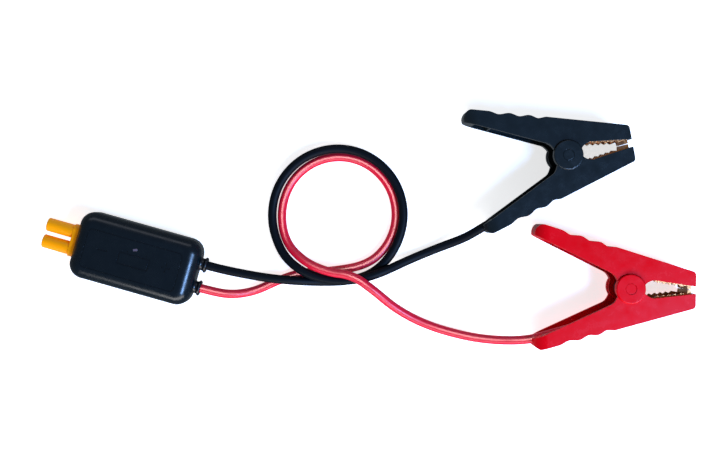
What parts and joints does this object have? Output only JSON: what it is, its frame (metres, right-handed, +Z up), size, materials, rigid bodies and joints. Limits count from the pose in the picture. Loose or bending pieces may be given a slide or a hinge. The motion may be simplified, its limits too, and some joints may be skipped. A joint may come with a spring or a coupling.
{
  "type": "jump starter clamp lead",
  "caption": "Jump lead of a pocket car starter: bullet plug, moulded control box, black and red silicone cables each with one loop, and sprung crocodile clamps.",
  "frame": {"origin": "on the ground, under the middle of the box round everything but the two free cables", "axes": "+X from the plug towards the clamps' jaws, +Y across the lead towards the black clamp, +Z up from the ground"},
  "size_m": [0.4016, 0.1465, 0.027],
  "materials": {
    "case_plastic": "fine satin moulded ABS",
    "plug_nylon": "satin moulded nylon",
    "black_plastic": "satin moulded polypropylene",
    "red_plastic": "satin moulded polypropylene",
    "black_silicone": "smooth satin silicone sheath",
    "red_silicone": "smooth satin silicone sheath",
    "grommet_rubber": "satin moulded rubber",
    "copper_plated_steel": "copper plated, pressed sheet",
    "tinned_copper": "tinned",
    "bare_copper": "bright",
    "gilt_brass": "gilt, turned",
    "pin_steel": "turned",
    "spring_steel": "drawn wire",
    "screw_steel": "zinc plated",
    "board_laminate": "solder resist over glass laminate",
    "relay_plastic": "moulded",
    "chip_epoxy": "moulded epoxy",
    "capacitor_can": "sleeved can",
    "led_body": "moulded",
    "clear_plastic": "frosted light guide"
  },
  "bodies": {
    "root": {"case_top": "case_plastic", "case_bottom": "case_plastic", "case_screws": "screw_steel", "circuit_board": "board_laminate", "relay": "relay_plastic", "controller_chip": "chip_epoxy", "capacitor": "capacitor_can", "status_led": "led_body", "led_window": "clear_plastic", "positive_bus_bar": "bare_copper", "negative_bus_bar": "bare_copper", "positive_contact": "gilt_brass", "negative_contact": "gilt_brass", "plug_housing": "plug_nylon", "black_grommet": "grommet_rubber", "red_grommet": "grommet_rubber", "black_board_core": "bare_copper", "red_board_core": "bare_copper", "black_cable": "black_silicone", "red_cable": "red_silicone", "black_lower_handle": "black_plastic", "black_pivot_caps": "black_plastic", "black_pivot_pin": "pin_steel", "black_torsion_spring": "spring_steel", "black_cable_core": "bare_copper", "black_cable_lug": "tinned_copper", "black_lower_jaw": "copper_plated_steel", "black_lower_jaw_screws": "screw_steel", "red_lower_handle": "red_plastic", "red_pivot_caps": "red_plastic", "red_pivot_pin": "pin_steel", "red_torsion_spring": "spring_steel", "red_cable_core": "bare_copper", "red_cable_lug": "tinned_copper", "red_lower_jaw": "copper_plated_steel", "red_lower_jaw_screws": "screw_steel"},
    "black_upper": {"black_upper_handle": "black_plastic", "black_upper_jaw": "copper_plated_steel", "black_upper_jaw_screws": "screw_steel"},
    "red_upper": {"red_upper_handle": "red_plastic", "red_upper_jaw": "copper_plated_steel", "red_upper_jaw_screws": "screw_steel"}
  },
  "joints": [
    {"name": "black_clamp_hinge", "type": "hinge", "parent": "root", "child": "black_upper", "pos_m": [0.1232, 0.0455, 0.0135], "axis": [0, 0, 1], "range_deg": [0, 40], "stiffness_Nm_per_rad": 0.3, "springref_deg": -28.65, "deforming": ["black_torsion_spring"]},
    {"name": "red_clamp_hinge", "type": "hinge", "parent": "root", "child": "red_upper", "pos_m": [0.161, -0.0359, 0.0135], "axis": [0, 0, 1], "range_deg": [0, 40], "stiffness_Nm_per_rad": 0.3, "springref_deg": -28.65, "deforming": ["red_torsion_spring"]}
  ]
}
